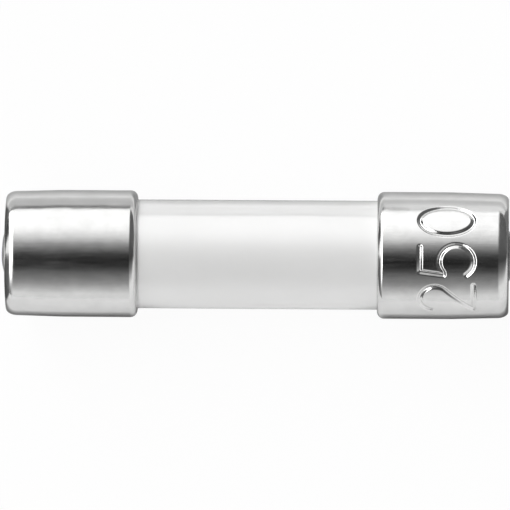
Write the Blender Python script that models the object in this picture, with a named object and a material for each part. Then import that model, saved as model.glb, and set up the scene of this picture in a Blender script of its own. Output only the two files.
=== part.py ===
"""A 5 x 20 mm cartridge fuse: a sand-filled ceramic tube between two drawn metal end caps.

Everything is turned about the X axis, in metres, +Z up, with the origin at the middle of the fuse.
Inside, a wire wound on a yarn core runs from cap to cap and is held at each end in a pool of solder,
which also fills the eye in the cap's end wall and stands out of it as a low bead.
"""

import math

import bmesh
import bpy
from mathutils import Vector

MM = 0.001

# Outside sizes
overall_length = 20.1 * MM  # over the flat end faces of the two caps
tube_diameter = 4.37 * MM
tube_bore = 2.9 * MM
tube_edge_round = 0.12 * MM

# Drawn end caps
cap_length = 5.25 * MM
cap_wall = 0.34 * MM
cap_end_wall = 0.34 * MM
cap_corner_round = 0.32 * MM  # outside, at the closed end
cap_inner_round = 0.12 * MM  # inside, at the closed end
cap_mouth_round = 0.27 * MM  # where the mouth is turned in to the tube
cap_draft = 0.05 * MM  # how much smaller the radius is at the closed end
cap_draft_length = 2.3 * MM  # how far from the closed end the wall reaches its full radius
cap_eye = 1.6 * MM  # hole in the middle of the end wall, filled by the solder
cap_eye_bevel = 0.06 * MM

# Solder in each cap
bead_lap = 0.16 * MM  # how far the bead spreads over the end face round the eye
bead_height = 0.18 * MM
pool_floor = 0.18 * MM  # solder between the end wall and the fusible element
pocket_depth = 0.32 * MM  # how far the fusible element reaches into the pool

# Fusible element: a wire wound on a yarn core
core_diameter = 0.6 * MM
wire_diameter = 0.14 * MM
winding_turns = 22

# Washers that hold the sand in the tube
washer_thickness = 0.45 * MM

# Clearances between neighbouring pieces
press_gap = 0.02 * MM  # metal, ceramic, solder and washer faces that touch
wound_gap = 0.03 * MM  # between the core and the wire wound on it
sand_gap = 0.05 * MM  # around the fusible element

# Facets
round_sides = 48
small_sides = 24
arc_steps = 4
points_per_turn = 12

# Places that follow from the sizes above
half_length = overall_length / 2
tube_radius = tube_diameter / 2
bore_radius = tube_bore / 2
cap_inner_radius = tube_radius + press_gap
cap_mouth_radius = cap_inner_radius + cap_wall
cap_end_radius = cap_mouth_radius - cap_draft
eye_radius = cap_eye / 2
bead_radius = eye_radius + cap_eye_bevel + bead_lap
pool_start = cap_end_wall + press_gap  # this and the next three are measured inwards from an end face
element_end = pool_start + pool_floor + press_gap
pool_end = pool_start + pool_floor + pocket_depth
tube_end = pool_end + press_gap
winding_radius = core_diameter / 2 + wound_gap + wire_diameter / 2
element_radius = winding_radius + wire_diameter / 2
element_hole_radius = element_radius + sand_gap
element_half_length = half_length - element_end


def clear_scene():
    for thing in list(bpy.data.objects):
        bpy.data.objects.remove(thing)


def finish(name, colour, roughness, metallic):
    """A plain material with the piece's colour and gloss."""
    made = bpy.data.materials.new(name)
    made.use_nodes = True
    shader = made.node_tree.nodes["Principled BSDF"]
    shader.inputs["Base Color"].default_value = (*colour, 1.0)
    shader.inputs["Roughness"].default_value = roughness
    shader.inputs["Metallic"].default_value = metallic
    return made


def arc(centre_x, centre_r, radius, start, end):
    """Points of a round edge of an outline. Angles are in degrees, 0 along +X and 90 away from the axis."""
    points = []
    for step in range(arc_steps + 1):
        angle = math.radians(start + (end - start) * step / arc_steps)
        points.append((centre_x + radius * math.cos(angle), centre_r + radius * math.sin(angle)))
    return points


def turned(name, outline, material, sides=round_sides):
    """Spins an outline of (x, radius) points about the X axis into one closed solid.

    An outline that starts and ends on the axis is left open there, and any other is closed into a ring.
    The first section stands half a facet off +Z, so that a flat facet faces down.
    """
    shape = bmesh.new()
    lean = math.pi / sides
    section = [shape.verts.new((x, r * math.sin(lean), r * math.cos(lean))) for x, r in outline]
    edges = [shape.edges.new(pair) for pair in zip(section, section[1:])]
    if outline[0][1] > 0:
        edges.append(shape.edges.new((section[-1], section[0])))
    around = {"cent": (0, 0, 0), "axis": (1, 0, 0), "angle": math.tau, "steps": sides}
    bmesh.ops.spin(shape, geom=section + edges, use_merge=True, **around)
    bmesh.ops.remove_doubles(shape, verts=shape.verts, dist=1e-8)
    bmesh.ops.recalc_face_normals(shape, faces=shape.faces)
    return placed(name, shape, material)


def placed(name, shape, material):
    """Makes an object of a bmesh, smooth shaded with its edges kept sharp."""
    mesh = bpy.data.meshes.new(name)
    shape.to_mesh(mesh)
    shape.free()
    mesh.shade_smooth()
    mesh.set_sharp_from_angle(angle=math.radians(30))
    mesh.materials.append(material)
    thing = bpy.data.objects.new(name, mesh)
    bpy.context.scene.collection.objects.link(thing)
    return thing


def seat(thing, side, axis):
    """Puts a piece that is drawn with x measured inwards from an end face at that end: side is -1 or 1."""
    thing.parent = axis
    thing.location.x = side * half_length
    thing.rotation_euler.z = 0.0 if side < 0 else math.pi


def cap_outline():
    """A drawn cup: eye, flat end, corner, drafted wall, turned-in mouth, and the inside back to the eye."""
    mouth_round = min(cap_mouth_round, cap_wall)
    inner_round_x = cap_end_wall + cap_inner_round
    inner_round_r = cap_inner_radius - cap_inner_round
    outline = [(cap_eye_bevel, eye_radius), (0.0, eye_radius + cap_eye_bevel)]
    outline += arc(cap_corner_round, cap_end_radius - cap_corner_round, cap_corner_round, 180, 90)
    outline += [(cap_draft_length, cap_mouth_radius)]
    outline += arc(cap_length - mouth_round, cap_mouth_radius - mouth_round, mouth_round, 90, 0)
    outline += [(cap_length, cap_inner_radius)]
    outline += arc(inner_round_x, inner_round_r, cap_inner_round, 90, 180)
    outline += [(cap_end_wall, eye_radius)]
    return outline


def solder_outline():
    """Bead outside the eye, neck through it and pool behind it, with a pocket for the fusible element."""
    bead_foot = -press_gap
    neck_radius = eye_radius - press_gap
    pool_radius = cap_inner_radius - press_gap
    pool_corner = cap_inner_round + press_gap
    sphere = (bead_radius**2 + bead_height**2) / (2 * bead_height)
    rim_angle = math.degrees(math.asin(bead_radius / sphere))
    outline = arc(bead_foot - bead_height + sphere, 0.0, sphere, 180, 180 - rim_angle)
    outline[0] = (bead_foot - bead_height, 0.0)
    outline += [(bead_foot, neck_radius), (pool_start, neck_radius)]
    outline += arc(pool_start + pool_corner, pool_radius - pool_corner, pool_corner, 180, 90)
    outline += [(pool_end, pool_radius), (pool_end, element_hole_radius)]
    outline += [(pool_start + pool_floor, element_hole_radius), (pool_start + pool_floor, 0.0)]
    return outline


def tube_outline():
    end = half_length - tube_end
    outline = []
    for side, turn in ((-1, 180), (1, 0)):
        round_end = arc(
            side * (end - tube_edge_round), tube_radius - tube_edge_round, tube_edge_round, turn, 90
        )
        outline += round_end if side < 0 else round_end[::-1]
    return outline + [(end, bore_radius), (-end, bore_radius)]


def sleeve_outline(start, end, inner, outer):
    return [(start, inner), (start, outer), (end, outer), (end, inner)]


def wound_wire(name, material):
    """One wire wound round the core from end to end, cut off with the yarn inside each pool of solder."""
    steps = winding_turns * points_per_turn
    half_run = element_half_length - wire_diameter / 2
    path = bpy.data.curves.new(name, "CURVE")
    path.dimensions = "3D"
    path.bevel_depth = wire_diameter / 2
    path.bevel_resolution = 1
    path.use_fill_caps = True
    route = []
    for step in range(steps + 1):
        share = step / steps
        angle = math.tau * winding_turns * share
        x = half_run * (2 * share - 1)
        route.append(Vector((x, winding_radius * math.cos(angle), winding_radius * math.sin(angle))))
    spline = path.splines.new("POLY")
    spline.points.add(steps)
    for point, place in zip(spline.points, route):
        point.co = (*place, 1.0)
    path.materials.append(material)
    wire = bpy.data.objects.new(name, path)
    bpy.context.scene.collection.objects.link(wire)
    apart = points_per_turn // 2
    least = min((one - other).length for i, one in enumerate(route) for other in route[i + apart :])
    print(f"least gap of the wire to itself: {(least - wire_diameter) / MM:.2f} mm")
    return wire


def main():
    clear_scene()
    plating = finish("nickel_plate", (0.74, 0.74, 0.73), 0.18, 1.0)
    ceramic = finish("white_ceramic", (0.90, 0.90, 0.88), 0.25, 0.0)
    tin = finish("solder", (0.62, 0.63, 0.64), 0.30, 1.0)
    board = finish("washer_board", (0.70, 0.64, 0.52), 0.85, 0.0)
    quartz = finish("quartz_sand", (0.82, 0.79, 0.72), 0.90, 0.0)
    yarn = finish("core_yarn", (0.88, 0.87, 0.83), 0.80, 0.0)
    copper = finish("fuse_wire", (0.80, 0.74, 0.66), 0.28, 1.0)

    axis = bpy.data.objects.new("fuse_axis", None)
    bpy.context.scene.collection.objects.link(axis)

    turned("ceramic_tube", tube_outline(), ceramic).parent = axis
    for word, side in (("left", -1), ("right", 1)):
        seat(turned(f"{word}_end_cap", cap_outline(), plating), side, axis)
        seat(turned(f"{word}_solder", solder_outline(), tin, small_sides), side, axis)
        washer = sleeve_outline(
            tube_end, tube_end + washer_thickness, element_hole_radius, bore_radius - press_gap
        )
        seat(turned(f"{word}_sand_washer", washer, board, small_sides), side, axis)

    sand_end = half_length - tube_end - washer_thickness - press_gap
    sand = sleeve_outline(-sand_end, sand_end, element_hole_radius, bore_radius - press_gap)
    turned("quartz_sand", sand, quartz, small_sides).parent = axis

    core_end = element_half_length
    core = [(-core_end, 0.0), (-core_end, core_diameter / 2), (core_end, core_diameter / 2), (core_end, 0.0)]
    turned("core_yarn", core, yarn, small_sides).parent = axis
    wound_wire("fuse_wire", copper).parent = axis


main()
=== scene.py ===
import math

import bpy
import numpy as np
from mathutils import Matrix, Vector


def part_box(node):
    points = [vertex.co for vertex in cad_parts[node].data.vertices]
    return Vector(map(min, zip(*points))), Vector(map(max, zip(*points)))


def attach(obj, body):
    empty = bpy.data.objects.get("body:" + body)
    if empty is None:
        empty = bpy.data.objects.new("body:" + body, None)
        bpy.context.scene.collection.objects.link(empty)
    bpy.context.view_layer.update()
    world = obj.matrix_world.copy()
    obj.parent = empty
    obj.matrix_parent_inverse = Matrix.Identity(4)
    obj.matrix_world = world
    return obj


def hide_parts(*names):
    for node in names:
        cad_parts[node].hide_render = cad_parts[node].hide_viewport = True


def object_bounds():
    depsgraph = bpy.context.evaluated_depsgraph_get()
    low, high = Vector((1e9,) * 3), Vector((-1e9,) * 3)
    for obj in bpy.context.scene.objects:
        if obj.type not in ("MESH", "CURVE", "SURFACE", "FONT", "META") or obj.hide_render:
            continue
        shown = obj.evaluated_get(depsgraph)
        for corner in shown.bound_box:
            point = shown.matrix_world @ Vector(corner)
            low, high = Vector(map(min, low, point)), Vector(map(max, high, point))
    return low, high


# Cartridge fuse, 5 x 20 mm. +X runs along the fuse, +Z is up, and the fuse lies on a white table.
# Every piece is a surface worked out on a grid of two parameters, in metres.

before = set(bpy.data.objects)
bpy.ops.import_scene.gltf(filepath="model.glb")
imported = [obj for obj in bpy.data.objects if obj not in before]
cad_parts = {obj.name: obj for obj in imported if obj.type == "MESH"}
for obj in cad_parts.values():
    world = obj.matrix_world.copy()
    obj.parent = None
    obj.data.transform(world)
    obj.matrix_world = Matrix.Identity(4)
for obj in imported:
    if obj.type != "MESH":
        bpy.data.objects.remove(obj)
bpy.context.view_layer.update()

mm = 0.001


def fullTurn(steps):
    return np.linspace(0, math.tau, steps, endpoint=False)


def makePiece(name, points, wrapAlong, material, cadNode):
    # points[i, j] is the surface at station i along the piece and step j round it. It closes round j, and
    # along i either by joining the last station to the first or by a point at the middle of each end station.
    along, around = points.shape[:2]
    i = np.arange(along if wrapAlong else along - 1)[:, None]
    j = np.arange(around)[None, :]
    nextI, nextJ = (i + 1) % along, (j + 1) % around
    corners = (i * around + j, nextI * around + j, nextI * around + nextJ, i * around + nextJ)
    faces = np.stack(np.broadcast_arrays(*corners), axis=-1).reshape(-1, 4).tolist()
    vertices = points.reshape(-1, 3)
    if not wrapAlong:
        firstPole, lastRing = along * around, (along - 1) * around
        vertices = np.vstack([vertices, points[0].mean(0), points[-1].mean(0)])
        ring = np.arange(around)
        after = (ring + 1) % around
        faces += np.stack([np.full(around, firstPole), ring, after], axis=-1).tolist()
        last = np.full(around, firstPole + 1)
        faces += np.stack([last, lastRing + after, lastRing + ring], axis=-1).tolist()
    mesh = bpy.data.meshes.new(name)
    mesh.from_pydata(vertices.tolist(), [], faces)
    mesh.update()
    pointOutwards(mesh)
    mesh.shade_smooth()
    mesh.set_sharp_from_angle(angle=math.radians(40))
    mesh.materials.append(material)
    piece = bpy.data.objects.new(name, mesh)
    bpy.context.scene.collection.objects.link(piece)
    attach(piece, "root")
    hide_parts(cadNode)
    print(f"{name}: {len(mesh.polygons)} faces")


def pointOutwards(mesh):
    # Turns the faces round if the volume that they enclose comes out negative. The volume is a third of the
    # sum of face area times the face centre's distance along the face's normal.
    count = len(mesh.polygons)
    area, centre, normal = np.zeros(count), np.zeros(count * 3), np.zeros(count * 3)
    mesh.polygons.foreach_get("area", area)
    mesh.polygons.foreach_get("center", centre)
    mesh.polygons.foreach_get("normal", normal)
    if (area * (centre * normal).reshape(-1, 3).sum(1)).sum() < 0:
        mesh.flip_normals()


def revolve(outline, angles):
    # Point (x, r) of the outline goes to (x, r sin a, r cos a), so angle 0 is the top and 90 degrees is +Y.
    x, r = outline[:, 0][:, None], outline[:, 1][:, None]
    return np.stack(np.broadcast_arrays(x, r * np.sin(angles), r * np.cos(angles)), axis=-1)


def sinkSurface(points, outline, sink):
    # Moves each point of a turned surface straight towards the axis by its sink.
    points[..., 1:] *= (1 - sink / outline[:, 1:])[..., None]


def arcPoints(centreX, centreR, sizeX, sizeR, start, end, count):
    # Part of an ellipse: centre plus (sizeX cos a, sizeR sin a), a in degrees from start to end.
    a = np.radians(np.linspace(start, end, count))
    return np.stack([centreX + sizeX * np.cos(a), centreR + sizeR * np.sin(a)], axis=-1)


def linePoints(start, end, count):
    # Evenly spaced points between two others, without either of them.
    return np.linspace(start, end, count + 2)[1:-1]


def ripple(u, v, seed, waves=9):
    # Smooth unevenness from about -1 to 1: a sum of waves that get shorter, each turned by the golden angle
    # from the one before and shifted along.
    goldenAngle, shift = 2.399, 1.7
    total = np.zeros(np.broadcast(u, v).shape)
    for k in range(1, waves + 1):
        turn = seed + goldenAngle * k
        total = total + np.sin(k * (u * math.cos(turn) + v * math.sin(turn)) + shift * turn)
    return total / (2 * waves ** 0.5)


def newMaterial(name):
    material = bpy.data.materials.new(name)
    material.use_nodes = True
    nodes = material.node_tree.nodes
    return material, nodes, material.node_tree.links, nodes["Principled BSDF"]


def noiseOn(nodes, links, scale, detail, roughness=0.55):
    # Noise on the piece's own coordinates. scale holds features per metre along x, y and z.
    coordinates = nodes.new("ShaderNodeTexCoord")
    mapping = nodes.new("ShaderNodeMapping")
    mapping.inputs["Scale"].default_value = scale
    noise = nodes.new("ShaderNodeTexNoise")
    noise.inputs["Scale"].default_value = 1.0
    noise.inputs["Detail"].default_value = detail
    noise.inputs["Roughness"].default_value = roughness
    links.new(coordinates.outputs["Object"], mapping.inputs["Vector"])
    links.new(mapping.outputs["Vector"], noise.inputs["Vector"])
    return noise.outputs["Fac"]


noiseMiddle = (0.3, 0.7)    # most values of a noise lie between these


def spread(nodes, links, source, low, high, fromLow=noiseMiddle[0], fromHigh=noiseMiddle[1]):
    # Carries a value from one range to another and keeps it there. The first is the middle of a noise unless
    # it is given.
    ranged = nodes.new("ShaderNodeMapRange")
    for socket, value in (("From Min", fromLow), ("From Max", fromHigh), ("To Min", low), ("To Max", high)):
        ranged.inputs[socket].default_value = value
    links.new(source, ranged.inputs["Value"])
    return ranged.outputs["Result"]


def tint(nodes, links, source, dark, light):
    # Colours the middle of a noise from dark to light.
    ramp = nodes.new("ShaderNodeValToRGB")
    for element, place, colour in zip(ramp.color_ramp.elements, noiseMiddle, (dark, light)):
        element.position = place
        element.color = (*colour, 1)
    links.new(source, ramp.inputs["Fac"])
    return ramp.outputs["Color"]


def bumpOn(nodes, links, source, height, below=None):
    # Raises a noise to a height in metres, on top of another bump if one is given.
    bump = nodes.new("ShaderNodeBump")
    bump.inputs["Strength"].default_value = 1.0
    bump.inputs["Distance"].default_value = height
    links.new(source, bump.inputs["Height"])
    if below is not None:
        links.new(below, bump.inputs["Normal"])
    return bump.outputs["Normal"]


plating = {
    "dark": (0.70, 0.70, 0.695),
    "light": (0.77, 0.77, 0.765),
    "roughness": (0.11, 0.19),
    "streaks": (900, 9000, 9000),      # fine lines along the fuse, per metre
    "streakHeight": 0.0011 * mm,
    "dents": (1700, 1700, 1700),
    "dentHeight": 0.0035 * mm,
}


def nickelPlate():
    material, nodes, links, shader = newMaterial("nickelPlate")
    shader.inputs["Metallic"].default_value = 1.0
    streaks = noiseOn(nodes, links, plating["streaks"], detail=6.0, roughness=0.6)
    dents = noiseOn(nodes, links, plating["dents"], detail=3.0)
    links.new(tint(nodes, links, dents, plating["dark"], plating["light"]), shader.inputs["Base Color"])
    links.new(spread(nodes, links, streaks, *plating["roughness"]), shader.inputs["Roughness"])
    soft = bumpOn(nodes, links, dents, plating["dentHeight"])
    links.new(bumpOn(nodes, links, streaks, plating["streakHeight"], soft), shader.inputs["Normal"])
    return material


glaze = {
    "dark": (0.84, 0.84, 0.835),
    "light": (0.875, 0.875, 0.87),
    "patches": (260, 520, 520),
    "grain": (1800, 2600, 2600),
    "grainHeight": 0.0005 * mm,
    "roughness": (0.29, 0.31),
    "ior": 1.7,
    "coatRoughness": 0.1,
    "coatIor": 2.0,
}


def ceramicGlaze():
    material, nodes, links, shader = newMaterial("ceramicGlaze")
    shader.inputs["IOR"].default_value = glaze["ior"]
    shader.inputs["Coat Weight"].default_value = 1.0
    shader.inputs["Coat Roughness"].default_value = glaze["coatRoughness"]
    shader.inputs["Coat IOR"].default_value = glaze["coatIor"]
    patches = noiseOn(nodes, links, glaze["patches"], detail=5.0, roughness=0.6)
    grain = noiseOn(nodes, links, glaze["grain"], detail=3.0)
    links.new(tint(nodes, links, patches, glaze["dark"], glaze["light"]), shader.inputs["Base Color"])
    links.new(spread(nodes, links, grain, *glaze["roughness"]), shader.inputs["Roughness"])
    bump = bumpOn(nodes, links, grain, glaze["grainHeight"])
    links.new(bump, shader.inputs["Normal"])
    links.new(bump, shader.inputs["Coat Normal"])
    return material


grainyFinishes = {
    "solderTin": {
        "dark": (0.5, 0.5, 0.51),
        "light": (0.66, 0.66, 0.665),
        "grain": (2600, 2600, 2600),       # features per metre along x, y and z
        "roughness": (0.28, 0.42),
        "height": 0.003 * mm,
        "metallic": 1.0,
    },
    "sandGrains": {
        "dark": (0.62, 0.58, 0.5),
        "light": (0.9, 0.88, 0.83),
        "grain": (9000, 9000, 9000),
        "roughness": (0.6, 0.95),
        "height": 0.02 * mm,
        "metallic": 0.0,
    },
    "pressBoard": {
        "dark": (0.6, 0.52, 0.4),
        "light": (0.76, 0.7, 0.58),
        "grain": (5000, 5000, 5000),
        "roughness": (0.7, 0.9),
        "height": 0.008 * mm,
        "metallic": 0.0,
    },
    "glassYarn": {
        "dark": (0.78, 0.77, 0.73),
        "light": (0.92, 0.91, 0.88),
        "grain": (3000, 14000, 14000),
        "roughness": (0.5, 0.8),
        "height": 0.01 * mm,
        "metallic": 0.0,
    },
    "tinnedCopper": {
        "dark": (0.68, 0.62, 0.54),
        "light": (0.84, 0.78, 0.7),
        "grain": (4000, 4000, 4000),
        "roughness": (0.2, 0.35),
        "height": 0.001 * mm,
        "metallic": 1.0,
    },
}


def grainyFinish(name):
    # One noise gives a finish its colour, gloss and relief.
    look = grainyFinishes[name]
    material, nodes, links, shader = newMaterial(name)
    shader.inputs["Metallic"].default_value = look["metallic"]
    noise = noiseOn(nodes, links, look["grain"], detail=6.0, roughness=0.65)
    links.new(tint(nodes, links, noise, look["dark"], look["light"]), shader.inputs["Base Color"])
    links.new(spread(nodes, links, noise, *look["roughness"]), shader.inputs["Roughness"])
    links.new(bumpOn(nodes, links, noise, look["height"]), shader.inputs["Normal"])
    return material


cap = {
    "mouthTurn": (0.28 * mm, 0.28 * mm),   # along the fuse and across, where the mouth is turned in
    "cornerRound": (0.45 * mm, 0.26 * mm),   # along the fuse and across, at the closed end
    "draft": 0.05 * mm,
    "draftLength": 2.3 * mm,
    "endWall": 0.34 * mm,
    "innerRound": 0.12 * mm,
    "eye": 0.8 * mm,             # radius of the hole in the end wall
    "eyeBevel": 0.06 * mm,
    "unevenness": 0.003 * mm,
    "waves": (0.9 * mm, 3),      # of the unevenness: length along the fuse, and number round it
    "fit": 0.02 * mm,            # between the cap and what it holds
    "inside": 0.002 * mm,        # how far the surface stays within the cap's own size
    "rimEdge": 0.01 * mm,        # broken edge where the mouth meets its bore
    "stations": 60,              # along the barrel of the plain cap
    "steps": 192,                # round the plain cap
}

stamp = {
    "text": "250",
    "height": 2.15 * mm,
    "spacing": 1.72 * mm,
    "lineWidth": 0.26 * mm,
    "depth": 0.068 * mm,
    "middle": 7.6 * mm,          # along the fuse
    "turn": math.radians(-5),    # of the middle digit, from the top towards +Y
    "halfArc": math.radians(66),   # of the barrel that has the finer grid
    "halfReach": 0.62,           # of the finer grid along the fuse, as a share of the digits' height
    "stations": (14, 120, 16),   # along the barrel before, under and after the digits
    "steps": (220, 86),          # round the cap under the digits, and round the rest of it
}


def digitStrokes(digit):
    # Strokes of the digits 0, 2 and 5, as points in a box one unit high, x to the right and y up.
    if digit == "0":
        return [arcPoints(0, 0, 0.3, 0.5, 0, 360, 49)]
    if digit == "2":
        return [np.vstack([arcPoints(0, 0.22, 0.3, 0.28, 165, -35, 25), [(-0.3, -0.5), (0.32, -0.5)]])]
    corner = [(0.26, 0.5), (-0.2, 0.5), (-0.26, 0.06)]
    return [np.vstack([corner, arcPoints(-0.01, -0.18, 0.31, 0.32, 130, -145, 25)])]


def distanceToStroke(across, along, stroke):
    # Least distance from each point to the stroke's straight pieces: the foot of the perpendicular on each
    # piece is kept between its ends.
    start, end = stroke[:-1], stroke[1:]
    run = end - start
    px, py = across[..., None] - start[:, 0], along[..., None] - start[:, 1]
    share = np.clip((px * run[:, 0] + py * run[:, 1]) / (run ** 2).sum(1), 0, 1)
    return np.hypot(px - share * run[:, 0], py - share * run[:, 1]).min(-1)


def stampDepth(x, angle, radius):
    # Grooves of round section along the strokes of the digits, which run round the cap with their tops
    # towards its mouth. The depth falls from full on the stroke to none half a line's width away, as half a
    # cosine wave.
    up = (stamp["middle"] - x) / stamp["height"]
    distance = np.full(np.broadcast(x, angle).shape, np.inf)
    middlePlace = len(stamp["text"]) // 2
    for place, digit in enumerate(stamp["text"]):
        turn = stamp["turn"] + (place - middlePlace) * stamp["spacing"] / radius
        side = (angle - turn) * radius / stamp["height"]
        for stroke in digitStrokes(digit):
            distance = np.minimum(distance, distanceToStroke(*np.broadcast_arrays(side, up), stroke))
    share = np.clip(distance * stamp["height"] / (stamp["lineWidth"] / 2), 0, 1)
    return stamp["depth"] * (1 + np.cos(math.pi * share)) / 2


def capStations(length, endFace, stamped):
    # Places along the barrel, measured from the closed end, close together under the digits.
    start, end = cap["cornerRound"][0], length - cap["mouthTurn"][0]
    if not stamped:
        return linePoints((start,), (end,), cap["stations"])[:, 0]
    middle, reach = endFace - stamp["middle"], stamp["halfReach"] * stamp["height"]
    low, high = middle - reach, middle + reach
    before, under, after = stamp["stations"]
    return np.concatenate([np.linspace(start, low, before)[1:], np.linspace(low, high, under)[1:],
                           np.linspace(high, end, after)[1:-1]])


def capOutline(length, radius, inner, along):
    # (distance from the closed end, radius): eye, end face, corner, drafted barrel, turned-in mouth, inside.
    # The last value of each line and arc is its number of points.
    closed = radius - cap["draft"]
    cornerX, cornerR = cap["cornerRound"]
    eye, bevel, wall = cap["eye"], cap["eyeBevel"], cap["endWall"]
    turnX, turnR = cap["mouthTurn"][0], min(cap["mouthTurn"][1], radius - inner - cap["rimEdge"])
    hollow, edge = cap["innerRound"], cap["rimEdge"]
    draft = np.clip(1 - (along - cornerX) / (cap["draftLength"] - cornerX), 0, 1)
    return np.vstack([
        [(wall, eye), (bevel, eye)],
        arcPoints(bevel, eye + bevel, bevel, bevel, 270, 180, 4)[1:],
        linePoints((0, eye + bevel), (0, closed - cornerR), 16),
        arcPoints(cornerX, closed - cornerR, cornerX, cornerR, 180, 90, 22),
        np.stack([along, radius - cap["draft"] * draft], axis=-1),
        arcPoints(length - turnX, radius - turnR, turnX, turnR, 90, 0, 18),
        [(length, inner + edge), (length - edge, inner)],
        linePoints((length - edge, inner), (wall + hollow, inner), 12),
        arcPoints(wall + hollow, inner - hollow, hollow, hollow, 90, 180, 7),
        linePoints((wall, inner - hollow), (wall, eye), 6),
    ])


def endCap(side, word, material):
    low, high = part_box(f"{word}_end_cap")
    length, radius = high.x - low.x, high.z - cap["inside"]
    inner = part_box("ceramic_tube")[1].z + cap["fit"]
    endFace = high.x if side > 0 else -low.x
    stamped = side > 0
    outline = capOutline(length, radius, inner, capStations(length, endFace, stamped))
    if stamped:
        first, last = stamp["turn"] - stamp["halfArc"], stamp["turn"] + stamp["halfArc"]
        under, others = stamp["steps"]
        rest = np.linspace(last, first + math.tau, others)[1:-1]
        angles = np.concatenate([np.linspace(first, last, under), rest])
    else:
        angles = fullTurn(cap["steps"])
    points = revolve(outline, angles)
    # The outer wall is a little uneven, and the digits are sunk in it. Both stop halfway along the mouth's
    # turn and fade out over the corner at the closed end.
    x, r = outline[:, :1], outline[:, 1:]
    outerFrom = inner + 0.05 * mm
    outer = (r > outerFrom) & (x < length - cap["mouthTurn"][0] / 2)
    cornerR = cap["cornerRound"][1]
    share = np.clip((r - radius + cap["draft"] + cornerR) / cornerR, 0, 1) * outer
    waveLength, wavesRound = cap["waves"]
    sink = cap["unevenness"] * (1 + ripple(x / waveLength, angles * wavesRound, seed=1.0 + side)) / 2
    if stamped:
        sink = sink + stampDepth(endFace - x, angles[None, :], radius)
    sinkSurface(points, outline, share * sink)
    points[..., 0] = side * (endFace - points[..., 0])
    makePiece(f"{word}EndCap", points, True, material, f"{word}_end_cap")


solder = {
    "beadRadius": 1.01 * mm,
    "unevenness": 0.012 * mm,
    "lump": 0.45 * mm,           # size of its lumps
    "domePower": 2.6,            # higher is flatter on top and steeper at the rim
    "rimShare": 0.6,             # of the gap to the end face, left free under the bead's rim
    "poolCorner": 0.14 * mm,
    "pocket": 0.53 * mm,         # radius of the hole for the fusible element
    "pocketDepth": 0.32 * mm,
    "steps": 96,                 # round it
}


def solderPiece(side, word, material):
    # Dome, neck and pool. The dome's height falls from its middle as one minus a power of the radius.
    low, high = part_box(f"{word}_solder")
    capLow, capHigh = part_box(f"{word}_end_cap")
    face = capHigh.x if side > 0 else -capLow.x
    beadHeight = max(-low.x, high.x) - face
    poolEnd = face - min(abs(low.x), abs(high.x))
    bead, gap = solder["beadRadius"], cap["fit"]
    neck = cap["eye"] - gap
    poolRadius, poolStart, corner = high.z, cap["endWall"] + gap, solder["poolCorner"]
    pocketStart = poolEnd - solder["pocketDepth"]
    share = np.linspace(0.02, 1, 22)    # of the bead's radius, from close to its middle out to its rim
    dome = np.stack([-gap - (beadHeight - gap) * (1 - share ** solder["domePower"]), bead * share], axis=-1)
    under = -gap * solder["rimShare"]
    outline = np.vstack([
        dome,
        [(under, bead - gap), (under, neck + gap), (0.0, neck), (poolStart, neck)],
        linePoints((poolStart, neck), (poolStart, poolRadius - corner), 5),
        arcPoints(poolStart + corner, poolRadius - corner, corner, corner, 180, 90, 6),
        [(poolEnd, poolRadius), (poolEnd, solder["pocket"])],
        [(pocketStart, solder["pocket"]), (pocketStart, gap)],
    ])
    points = revolve(outline, fullTurn(solder["steps"]))
    # The dome is pressed in unevenly by its lumps, which fade out towards the rim.
    onBead = (outline[:, 0] < -gap)[:, None]
    lump = ripple(points[..., 1] / solder["lump"], points[..., 2] / solder["lump"], seed=3.0 + side, waves=5)
    fade = 1 - (outline[:, 1:] / bead) ** 4
    points[..., 0] += onBead * solder["unevenness"] * (1 + lump) * fade
    points[..., 0] = side * (face - points[..., 0])
    makePiece(f"{word}Solder", points, False, material, f"{word}_solder")


tube = {
    "bore": 1.45 * mm,           # radius
    "endRound": 0.12 * mm,
    "unevenness": 0.006 * mm,
    "waves": (1.3 * mm, 2),      # of the unevenness: length along the fuse, and number round it
    "stations": (220, 30),       # along the outside and along the bore
    "steps": 192,                # round it
}


def ceramicTube(material):
    # A sleeve with round outer edges, whose wall waves a little along the fuse and round it.
    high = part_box("ceramic_tube")[1]
    radius, end, edge, bore = high.z, high.x, tube["endRound"], tube["bore"]
    outside, within = tube["stations"]
    outline = np.vstack([
        arcPoints(-end + edge, radius - edge, edge, edge, 180, 90, 6),
        linePoints((-end + edge, radius), (end - edge, radius), outside),
        arcPoints(end - edge, radius - edge, edge, edge, 90, 0, 6),
        [(end, bore)],
        linePoints((end, bore), (-end, bore), within),
        [(-end, bore)],
    ])
    angles = fullTurn(tube["steps"])
    points = revolve(outline, angles)
    # Only the barrel is uneven, where the outline has its full radius.
    rounding = 0.001 * mm
    outer = outline[:, 1:] > radius - rounding
    waveLength, wavesRound = tube["waves"]
    wave = ripple(outline[:, :1] / waveLength, angles * wavesRound, seed=5.0)
    sinkSurface(points, outline, outer * tube["unevenness"] * (1 + wave) / 2)
    makePiece("ceramicTube", points, True, material, "ceramic_tube")


sandSleeve = {
    "hole": solder["pocket"],    # radius left free round the fusible element
    "grain": 0.02 * mm,          # height of the grains
    "waves": (0.07 * mm, 21),    # of the grains: length along the fuse, and number round it
    "stations": (240, 6, 100),   # along the outside, across each end and along the hole
    "steps": 120,                # round it
}


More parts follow.
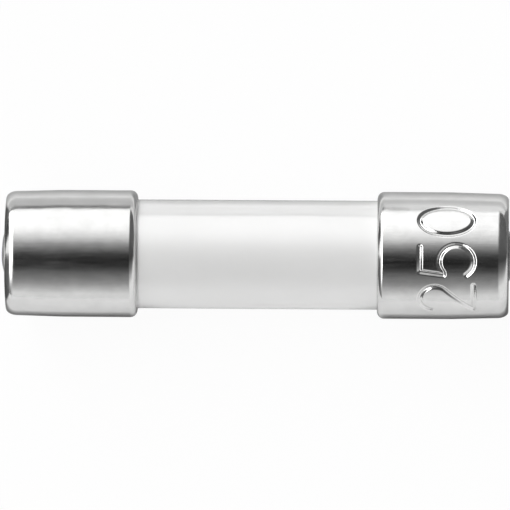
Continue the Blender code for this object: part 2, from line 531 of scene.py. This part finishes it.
def sandFilling(material):
    # A sleeve whose outer side is sunk by short waves of about a grain's size.
    low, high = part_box("quartz_sand")
    hole, radius = sandSleeve["hole"], high.z
    outside, ends, within = sandSleeve["stations"]
    outline = np.vstack([
        [(low.x, hole)], linePoints((low.x, hole), (low.x, radius), ends), [(low.x, radius)],
        linePoints((low.x, radius), (high.x, radius), outside), [(high.x, radius)],
        linePoints((high.x, radius), (high.x, hole), ends), [(high.x, hole)],
        linePoints((high.x, hole), (low.x, hole), within),
    ])
    angles = fullTurn(sandSleeve["steps"])
    points = revolve(outline, angles)
    waveLength, wavesRound = sandSleeve["waves"]
    grain = ripple(outline[:, :1] / waveLength, angles * wavesRound, seed=7.0, waves=13)
    clearOfHole = outline[:, 1:] > hole + 0.01 * mm
    sinkSurface(points, outline, clearOfHole * sandSleeve["grain"] * (1 + grain) / 2)
    makePiece("quartzSand", points, True, material, "quartz_sand")


washer = {
    "hole": solder["pocket"],
    "bevel": 0.03 * mm,
    "steps": 96,                 # round it
}


def sandWasher(word, material):
    # A flat ring with bevelled edges.
    low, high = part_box(f"{word}_sand_washer")
    hole, radius, bevel = washer["hole"], high.z, washer["bevel"]
    outline = np.array([
        (low.x + bevel, hole), (low.x, hole + bevel), (low.x, radius - bevel), (low.x + bevel, radius),
        (high.x - bevel, radius), (high.x, radius - bevel), (high.x, hole + bevel), (high.x - bevel, hole),
    ])
    points = revolve(outline, fullTurn(washer["steps"]))
    makePiece(f"{word}SandWasher", points, True, material, f"{word}_sand_washer")


yarnCore = {
    "lay": 1.1 * mm,             # length in which a ply goes half round the other
    "groove": 0.2,               # depth between the plies, as a share of the yarn's radius
    "stations": 700,             # along it
    "steps": 40,                 # round it
}


def coreYarn(material):
    # Two plies laid together: the radius is largest along two lines that wind round the axis. It falls from
    # there as the absolute value of a cosine does.
    low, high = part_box("core_yarn")
    x = np.linspace(low.x, high.x, yarnCore["stations"])[:, None]
    angles = fullTurn(yarnCore["steps"])[None, :]
    twist = math.pi * x / yarnCore["lay"]
    radius = high.z * (1 - yarnCore["groove"] * (1 - np.abs(np.cos(angles - twist))))
    points = np.stack(np.broadcast_arrays(x, radius * np.sin(angles), radius * np.cos(angles)), axis=-1)
    makePiece("coreYarn", points, False, material, "core_yarn")


winding = {
    "wireRadius": 0.07 * mm,
    "helixRadius": 0.4 * mm,
    "turns": 22,
    "stationsPerTurn": 48,
    "steps": 12,                 # round the wire
}


def fuseWire(material):
    # A round section carried along a helix: centre (x, R cos t, R sin t), section in the plane of the outward
    # direction and the direction across the wire.
    low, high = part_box("fuse_wire")
    wireRadius, helixRadius, turns = winding["wireRadius"], winding["helixRadius"], winding["turns"]
    t = np.linspace(0, math.tau * turns, turns * winding["stationsPerTurn"])[:, None]
    run = high.x - low.x - 2 * wireRadius
    pitch = run / turns
    x = low.x + wireRadius + pitch * t / math.tau
    phi = fullTurn(winding["steps"])[None, :]
    length = math.hypot(math.tau * helixRadius, pitch)
    reach, side = helixRadius + wireRadius * np.cos(phi), wireRadius * np.sin(phi)
    y = reach * np.cos(t) + side * pitch / length * np.sin(t)
    z = reach * np.sin(t) - side * pitch / length * np.cos(t)
    points = np.stack(np.broadcast_arrays(x + side * math.tau * helixRadius / length, y, z), axis=-1)
    makePiece("fuseWire", points, False, material, "fuse_wire")


nickel, ceramic = nickelPlate(), ceramicGlaze()
tin, sand, board, yarn, copper = (grainyFinish(name) for name in grainyFinishes)
print("materials made")

for side, word in ((-1, "left"), (1, "right")):
    endCap(side, word, nickel)
    solderPiece(side, word, tin)
    sandWasher(word, board)
ceramicTube(ceramic)
sandFilling(sand)
coreYarn(yarn)
fuseWire(copper)
print("pieces made")


# Behind the fuse is towards +Y, and in front of it towards -Y. Paleness runs from 0 for black to 1 for white.
table = {
    "halfSize": 1.5,
    "colour": 0.93,
    "roughness": 0.8,
    "cameraWhite": 0.94,         # how much of what the camera sees of it is plain white, and not lit
    # Painted shade, seen in reflections: how pale it is by mm behind the fuse's middle. It is painted darker
    # in strips just in front of and behind the fuse, where its shadow falls, and darker far behind it.
    "paintedShade": {-30: 1.0, -14: 0.95, -8: 0.88, -6: 0.86, -5: 0.45, -3.6: 0.18, -2.4: 0.35, -1.6: 0.85,
              1.6: 0.85, 2.4: 0.45, 4: 0.53, 5.5: 0.78, 7: 1.0, 9: 0.7, 14: 0.6, 20: 0.7, 26: 0.5, 40: 0.1},
    # Painted shade for soft light: pale in front and darker behind, and from where to where it changes.
    "paintedBounceShade": (1.0, 0.5, -2 * mm, 5 * mm),
    # Painted light far behind the right cap, seen in reflections: how pale, and from where to where that
    # begins, behind the fuse and along it.
    "paintedLightFarRight": 1.0,
    "farEdge": (10 * mm, 18 * mm),
    "rightEdge": (2 * mm, 6 * mm),
    # Painted light in front of the tube and painted shade behind it, seen in reflections: how pale, and from
    # where to where behind it.
    "paintedTubeStrips": ((0.97, -90 * mm, -3.2 * mm), (0.35, 2.2 * mm, 5.4 * mm)),
    "stripSoft": 0.8 * mm,       # width of the soft edge in front of and behind a strip
    "tubeEdge": (3.6 * mm, 5.2 * mm),      # where a strip ends along the fuse
    # Painted shade beyond each end, seen in reflections: a dark wedge widens away from the fuse. How pale,
    # and from where to where it begins. That is counted from the middle line both ways on the left, and
    # towards the back on the right.
    "leftWedge": (0.06, 0.8 * mm, 1.5 * mm),
    "rightWedge": (0.2, -2.2 * mm, -0.4 * mm),
    "wedgeStart": 10.4 * mm,     # along the fuse
    "wedgeSlope": 0.6,           # how far its edge leans outwards for each step away from the middle line
    "wedgeSoft": 1.0 * mm,       # width of that soft edge
    "besideBead": (12.1 * mm, 12.9 * mm),  # up to here along the fuse a wedge has no gap in its middle
}


def levelRamp(nodes, links, source, levels):
    # A grey ramp through the given levels, whose keys run from 0 to 1.
    ramp = nodes.new("ShaderNodeValToRGB")
    elements = ramp.color_ramp.elements
    while len(elements) < len(levels):
        elements.new(1.0)
    for element, key in zip(elements, sorted(levels)):
        element.position = max(0.0, key)
        element.color = (levels[key],) * 3 + (1,)
    links.new(source, ramp.inputs["Fac"])
    return ramp.outputs["Color"]


def mixed(nodes, links, factor, first, second):
    # Blends two colours. The second may be a plain grey level. The node's inputs 0, 6 and 7 are its factor
    # and its two colours, and output 2 is the blend.
    mix = nodes.new("ShaderNodeMix")
    mix.data_type = "RGBA"
    share, colourA, colourB = (mix.inputs[place] for place in (0, 6, 7))
    links.new(factor, share)
    links.new(first, colourA)
    if isinstance(second, (int, float)):
        colourB.default_value = (second, second, second, 1)
    else:
        links.new(second, colourB)
    return mix.outputs[2]


def calculate(nodes, links, operation, *values):
    # A step of arithmetic on one or two values, each of them a number or an output.
    node = nodes.new("ShaderNodeMath")
    node.operation = operation
    for socket, value in zip(node.inputs, values):
        if isinstance(value, (int, float)):
            socket.default_value = value
        else:
            links.new(value, socket)
    return node.outputs[0]


def paintedReflectionShade(nodes, links, along, across):
    # Painted shade and light on the table, seen in reflections: how pale it is from its places along and
    # across the fuse.
    near, reach = min(table["paintedShade"]), max(table["paintedShade"])
    behind = spread(nodes, links, across, 0, 1, near * mm, reach * mm)
    paintedShade = levelRamp(nodes, links, behind, {
        (key - near) / (reach - near): level for key, level in table["paintedShade"].items()
    })
    # Painted light far behind the right cap.
    far = spread(nodes, links, across, 0, 1, *table["farEdge"])
    right = spread(nodes, links, along, 0, 1, *table["rightEdge"])
    paintedShade = mixed(nodes, links, calculate(nodes, links, "MULTIPLY", far, right), paintedShade, table["paintedLightFarRight"])
    # Painted light in front of the tube and painted shade behind it.
    besideTube = spread(nodes, links, calculate(nodes, links, "ABSOLUTE", along), 1, 0, *table["tubeEdge"])
    soft = table["stripSoft"]
    for level, front, back in table["paintedTubeStrips"]:
        begun = spread(nodes, links, across, 0, 1, front - soft, front)
        unended = spread(nodes, links, across, 1, 0, back, back + soft)
        strip = calculate(nodes, links, "MULTIPLY", begun, unended)
        strip = calculate(nodes, links, "MULTIPLY", strip, besideTube)
        paintedShade = mixed(nodes, links, strip, paintedShade, level)
    # Painted shade: dark wedges beyond both ends.
    away = calculate(nodes, links, "ABSOLUTE", across)
    for side, aside, wedge in ((-1, away, table["leftWedge"]), (1, across, table["rightWedge"])):
        level, *begin = wedge
        outwards = calculate(nodes, links, "MULTIPLY", along, side)
        paintedShade = mixed(nodes, links, paintedShadeWedge(nodes, links, outwards, away, aside, begin), paintedShade, level)
    return paintedShade


def paintedShadeWedge(nodes, links, outwards, away, aside, begin):
    # How much of the painted-shade wedge beyond an end a place is in: past an edge that leans outwards away
    # from the middle line, and either to the side or close to the bead.
    lean = calculate(nodes, links, "MULTIPLY", away, table["wedgeSlope"])
    clear = calculate(nodes, links, "SUBTRACT", outwards, lean)
    start = table["wedgeStart"]
    beyond = spread(nodes, links, clear, 0, 1, start, start + table["wedgeSoft"])
    besideBead = spread(nodes, links, outwards, 1, 0, *table["besideBead"])
    toSide = calculate(nodes, links, "MAXIMUM", spread(nodes, links, aside, 0, 1, *begin), besideBead)
    return calculate(nodes, links, "MULTIPLY", beyond, toSide)


def tableFinish():
    # White to the camera, apart from the fuse's faint shadow. Reflections and soft light each see their own
    # painted shade of it.
    material, nodes, links, shader = newMaterial("whiteTable")
    shader.inputs["Roughness"].default_value = table["roughness"]
    rays = nodes.new("ShaderNodeLightPath").outputs
    parts = nodes.new("ShaderNodeSeparateXYZ")
    links.new(nodes.new("ShaderNodeTexCoord").outputs["Object"], parts.inputs[0])
    along, across = parts.outputs[0], parts.outputs[1]
    # Painted shade for soft light: the table is darker behind the fuse.
    paintedBounceShade = spread(nodes, links, across, *table["paintedBounceShade"])
    paintedShade = mixed(nodes, links, rays["Is Glossy Ray"], paintedBounceShade, paintedReflectionShade(nodes, links, along, across))
    links.new(mixed(nodes, links, rays["Is Camera Ray"], paintedShade, table["colour"]), shader.inputs["Base Color"])
    white = nodes.new("ShaderNodeEmission")
    white.inputs["Color"].default_value = (1, 1, 1, 1)
    share = spread(nodes, links, rays["Is Camera Ray"], 0, table["cameraWhite"], 0, 1)
    mix = nodes.new("ShaderNodeMixShader")
    links.new(share, mix.inputs["Fac"])
    links.new(shader.outputs[0], mix.inputs[1])
    links.new(white.outputs[0], mix.inputs[2])
    links.new(mix.outputs[0], nodes["Material Output"].inputs["Surface"])
    return material


def makeTable():
    half, height = table["halfSize"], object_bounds()[0].z
    mesh = bpy.data.meshes.new("table")
    corners = [(-half, -half, height), (half, -half, height), (half, half, height), (-half, half, height)]
    mesh.from_pydata(corners, [], [(0, 1, 2, 3)])
    mesh.materials.append(tableFinish())
    top = bpy.data.objects.new("table", mesh)
    bpy.context.scene.collection.objects.link(top)


# How bright the light tent is by angle, in degrees from straight up: negative in front of the fuse, positive
# behind it. There is one list for the middle of the tent, two for its left side and one for its right side.
tent = {
    "middle": {-90: 0.84, -79: 0.85, -68: 0.58, -57: 0.35, -47: 0.24, -37: 0.145, -27: 0.05, -18: 0.012,
               -9: 0.012, 0: 0.05, 10: 0.2, 19: 0.41, 28: 0.78, 38: 1.07, 48: 1.3, 58: 1.4, 87: 1.4, 90: 1.1},
    "left": {-90: 0.1, -72: 0.5, -60: 0.9, -45: 2.5, -30: 4.0, -15: 5.1, 5: 5.8, 25: 6.2, 45: 6.6, 60: 6.2,
             75: 4.8, 90: 3.8},
    "farLeft": {-90: 0.15, -22: 0.12, -8: 0.3, 2: 1.1, 30: 1.1, 42: 0.4, 50: 0.08, 90: 0.05},
    "right": {-90: 0.95, -60: 0.9, -45: 0.5, -30: 0.2, -10: 0.06, 10: 0.1, 40: 0.14, 90: 0.12},
    # Where each list gives way to the next: x of the direction.
    "blends": (("left", -0.28, -0.42), ("farLeft", -0.5, -0.66), ("right", 0.07, 0.2)),
}


def makeTent():
    world = bpy.data.worlds.new("tent")
    world.use_nodes = True
    nodes, links = world.node_tree.nodes, world.node_tree.links
    parts = nodes.new("ShaderNodeSeparateXYZ")
    links.new(nodes.new("ShaderNodeTexCoord").outputs["Generated"], parts.inputs[0])
    x, y, z = parts.outputs
    turn = calculate(nodes, links, "ARCTAN2", y, z)
    angle = spread(nodes, links, turn, 0, 1, -math.pi / 2, math.pi / 2)
    ramps = {}
    for part in ("middle", "left", "farLeft", "right"):
        places = {(key + 90) / 180: level for key, level in tent[part].items()}
        ramps[part] = levelRamp(nodes, links, angle, places)
    level = ramps["middle"]
    for part, near, far in tent["blends"]:
        level = mixed(nodes, links, spread(nodes, links, x, 0, 1, near, far), level, ramps[part])
    # The camera sees a plain white tent.
    cameraRay = nodes.new("ShaderNodeLightPath").outputs["Is Camera Ray"]
    links.new(mixed(nodes, links, cameraRay, level, 1), nodes["Background"].inputs["Color"])
    bpy.context.scene.world = world


view = {
    "distance": 0.5,
    "turn": 1.5,                 # degrees from straight above, towards +X
    "roll": 0.36,                # degrees, which lowers the right end
    "seen": 20.41 * mm,          # width of the picture at the fuse
    "aim": (-0.10 * mm, -0.02 * mm, 0.0),
}


def makeCamera():
    turn = math.radians(view["turn"])
    back = Vector((math.sin(turn), 0, math.cos(turn)))
    right = Vector((math.cos(turn), 0, -math.sin(turn)))
    facing = Matrix((right, back.cross(right), back)).transposed().to_4x4()
    lens = bpy.data.cameras.new("camera")
    lens.sensor_width = 36
    lens.lens = lens.sensor_width * view["distance"] / view["seen"]
    lens.clip_start = 0.01
    camera = bpy.data.objects.new("camera", lens)
    place = Matrix.Translation(Vector(view["aim"]) + back * view["distance"])
    camera.matrix_world = place @ facing @ Matrix.Rotation(math.radians(view["roll"]), 4, "Z")
    bpy.context.scene.collection.objects.link(camera)
    bpy.context.scene.camera = camera


makeTable()
makeTent()
makeCamera()
bpy.context.scene.view_settings.view_transform = "Standard"
print("table, light and camera made")
